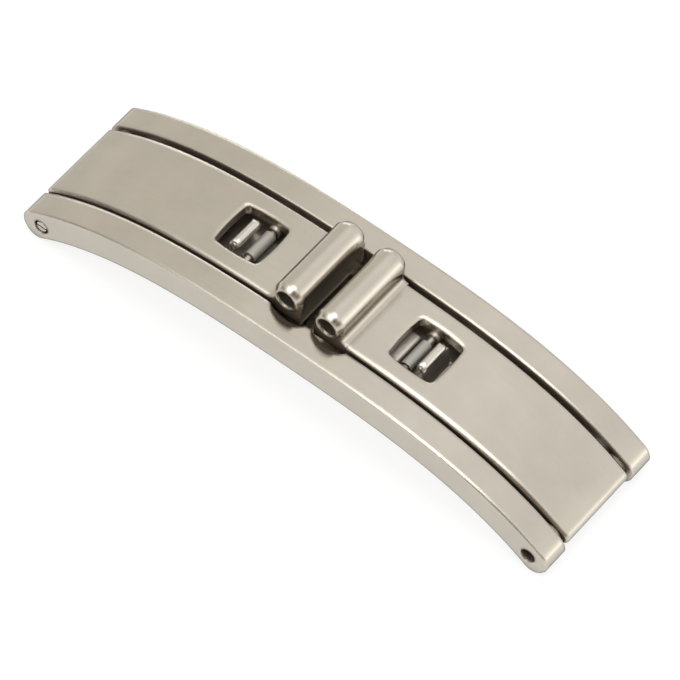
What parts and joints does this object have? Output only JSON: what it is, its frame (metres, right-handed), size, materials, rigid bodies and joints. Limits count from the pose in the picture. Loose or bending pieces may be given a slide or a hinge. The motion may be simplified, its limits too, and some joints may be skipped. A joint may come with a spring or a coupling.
{
  "type": "butterfly clasp",
  "caption": "Curved butterfly clasp for a watch bracelet, with opposed leaves hinged in a railed frame, windowed roller catches and cross tubes for the end links.",
  "frame": {"origin": "middle of the closed clasp, on the plane that its rail ends rest on", "axes": "+X along the bracelet, +Y across it, +Z away from the wrist"},
  "size_m": [0.0398, 0.0104, 0.008],
  "materials": {
    "frame_steel": "satin polish with soft bright edges",
    "leaf_steel": "satin polish with bright edges and tube",
    "spring_steel": "bright polish",
    "roller_steel": "fine matt turned",
    "axle_steel": "bright",
    "sleeve_steel": "drawn",
    "washer_steel": "plain",
    "screw_steel": "turned",
    "rivet_steel": "plain"
  },
  "bodies": {
    "base": {"base_frame": "frame_steel", "left_catch_clip": "spring_steel", "right_catch_clip": "spring_steel", "left_clip_rivets": "rivet_steel", "right_clip_rivets": "rivet_steel", "left_hinge_screw": "screw_steel", "right_hinge_screw": "screw_steel", "left_hinge_washers": "washer_steel", "right_hinge_washers": "washer_steel"},
    "left_leaf": {"left_leaf": "leaf_steel", "left_hinge_sleeve": "sleeve_steel", "left_roller_axle": "axle_steel"},
    "right_leaf": {"right_leaf": "leaf_steel", "right_hinge_sleeve": "sleeve_steel", "right_roller_axle": "axle_steel"},
    "left_roller": {"left_catch_roller": "roller_steel"},
    "right_roller": {"right_catch_roller": "roller_steel"}
  },
  "joints": [
    {"name": "left_leaf_hinge", "type": "hinge", "parent": "base", "child": "left_leaf", "pos_m": [-0.0185, 0, 0.00124], "axis": [0, -1, 0], "range_deg": [0, 150]},
    {"name": "right_leaf_hinge", "type": "hinge", "parent": "base", "child": "right_leaf", "pos_m": [0.0185, 0, 0.00124], "axis": [0, 1, 0], "range_deg": [0, 150]},
    {"name": "left_roller_spin", "type": "hinge", "parent": "left_leaf", "child": "left_roller", "pos_m": [-0.00603, 0, 0.00474], "axis": [0, -1, 0], "continuous": true},
    {"name": "right_roller_spin", "type": "hinge", "parent": "right_leaf", "child": "right_roller", "pos_m": [0.00603, 0, 0.00474], "axis": [0, 1, 0], "continuous": true}
  ]
}
